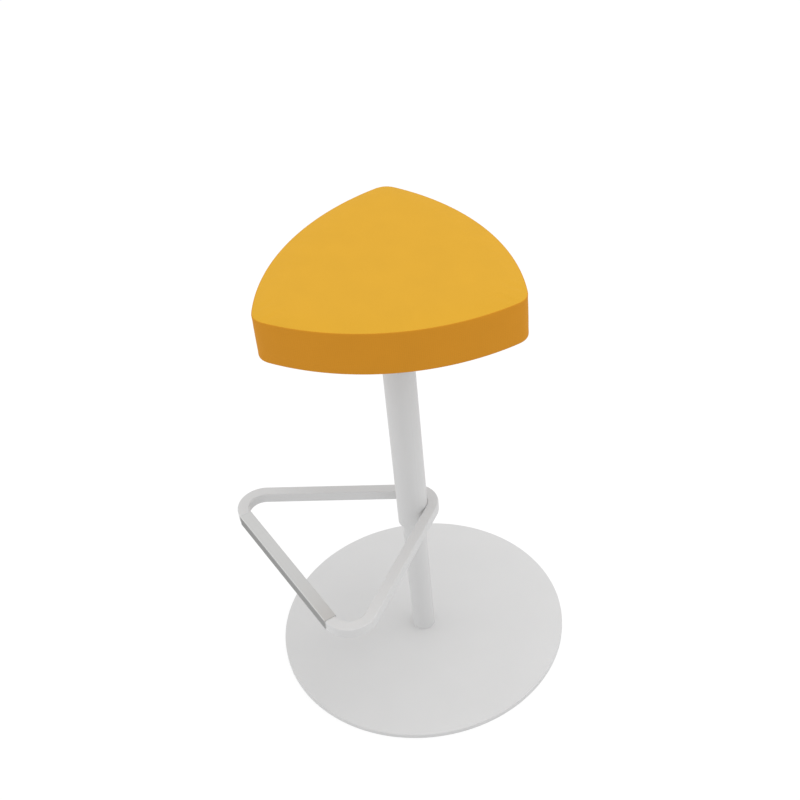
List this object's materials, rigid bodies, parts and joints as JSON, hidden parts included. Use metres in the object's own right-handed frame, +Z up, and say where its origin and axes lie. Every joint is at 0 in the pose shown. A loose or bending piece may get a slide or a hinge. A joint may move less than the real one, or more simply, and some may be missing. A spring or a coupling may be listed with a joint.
{
  "type": "swivel bar stool",
  "caption": "Height-adjustable swivel bar stool: upholstered rounded-triangle seat, telescoping column, triangular footrest with a steel guard, flat disc base.",
  "frame": {"origin": "on the floor under the base, on the column's axis", "axes": "+Z up along the column, a sitter faces -Y, +X to the sitter's left"},
  "size_m": [0.4899, 0.49, 0.7725],
  "materials": {
    "grey_coat": "satin",
    "stainless": "satin",
    "steel": "satin",
    "black_coat": "satin",
    "rod_chrome": "polished",
    "zinc": "satin",
    "white_nylon": "matte",
    "black_plastic": "matte",
    "clear_plastic": "matte",
    "black_rubber": "matte",
    "brass": "satin",
    "plywood": "matte",
    "foam": "matte",
    "yellow_cloth": "matte",
    "black_cloth": "matte"
  },
  "bodies": {
    "base": {"base_plate": "grey_coat", "floor_ring": "clear_plastic", "base_screws": "zinc", "stand_plug": "steel", "stand_tube": "grey_coat", "lower_race": "steel", "guide_sleeve": "black_plastic", "top_bush": "white_nylon"},
    "ball_cage": {"bearing_cage": "brass", "bearing_balls": "rod_chrome"},
    "spindle": {"upper_race": "steel", "piston_rod": "rod_chrome", "rod_clip": "zinc", "piston": "steel", "piston_seal": "black_rubber"},
    "lever": {"release_lever": "rod_chrome", "lever_grip": "black_plastic"},
    "valve_pin": {"release_pin": "zinc"},
    "seat": {"gas_cylinder": "black_coat", "cylinder_gland": "steel", "rod_seal": "black_rubber", "valve_block": "steel", "lower_bush": "white_nylon", "cover_tube": "grey_coat", "footrest_loop": "grey_coat", "footrest_guard": "stainless", "guard_rivets": "stainless", "seat_plate": "black_coat", "seat_socket": "steel", "lever_bracket": "black_coat", "lever_pin": "zinc", "seat_board": "plywood", "seat_foam": "foam", "seat_cover": "yellow_cloth", "dust_cover": "black_cloth", "cover_staples": "zinc", "tee_nuts": "zinc", "seat_bolts": "zinc", "bolt_washers": "zinc"}
  },
  "joints": [
    {"name": "swivel", "type": "hinge", "parent": "base", "child": "spindle", "pos_m": [0, 0, 0.03], "axis": [0, 0, 1], "continuous": true},
    {"name": "cage_turn", "type": "hinge", "parent": "base", "child": "ball_cage", "pos_m": [0, 0, 0.0255], "axis": [0, 0, 1], "continuous": true},
    {"name": "lift", "type": "slide", "parent": "spindle", "child": "seat", "axis": [0, 0, 1], "range_m": [-0.21, 0]},
    {"name": "lever_pull", "type": "hinge", "parent": "seat", "child": "lever", "pos_m": [-0.042, 0, 0.6853], "axis": [0, 1, 0], "range_deg": [0, 5], "stiffness_Nm_per_rad": 8},
    {"name": "pin_press", "type": "slide", "parent": "seat", "child": "valve_pin", "axis": [0, 0, -1], "range_m": [0, 0.004]}
  ],
  "couplings": [
    {"joint": "cage_turn", "follows": "swivel", "ratio": 0.5},
    {"joint": "pin_press", "follows": "lever_pull", "m_per_rad": 0.042}
  ]
}
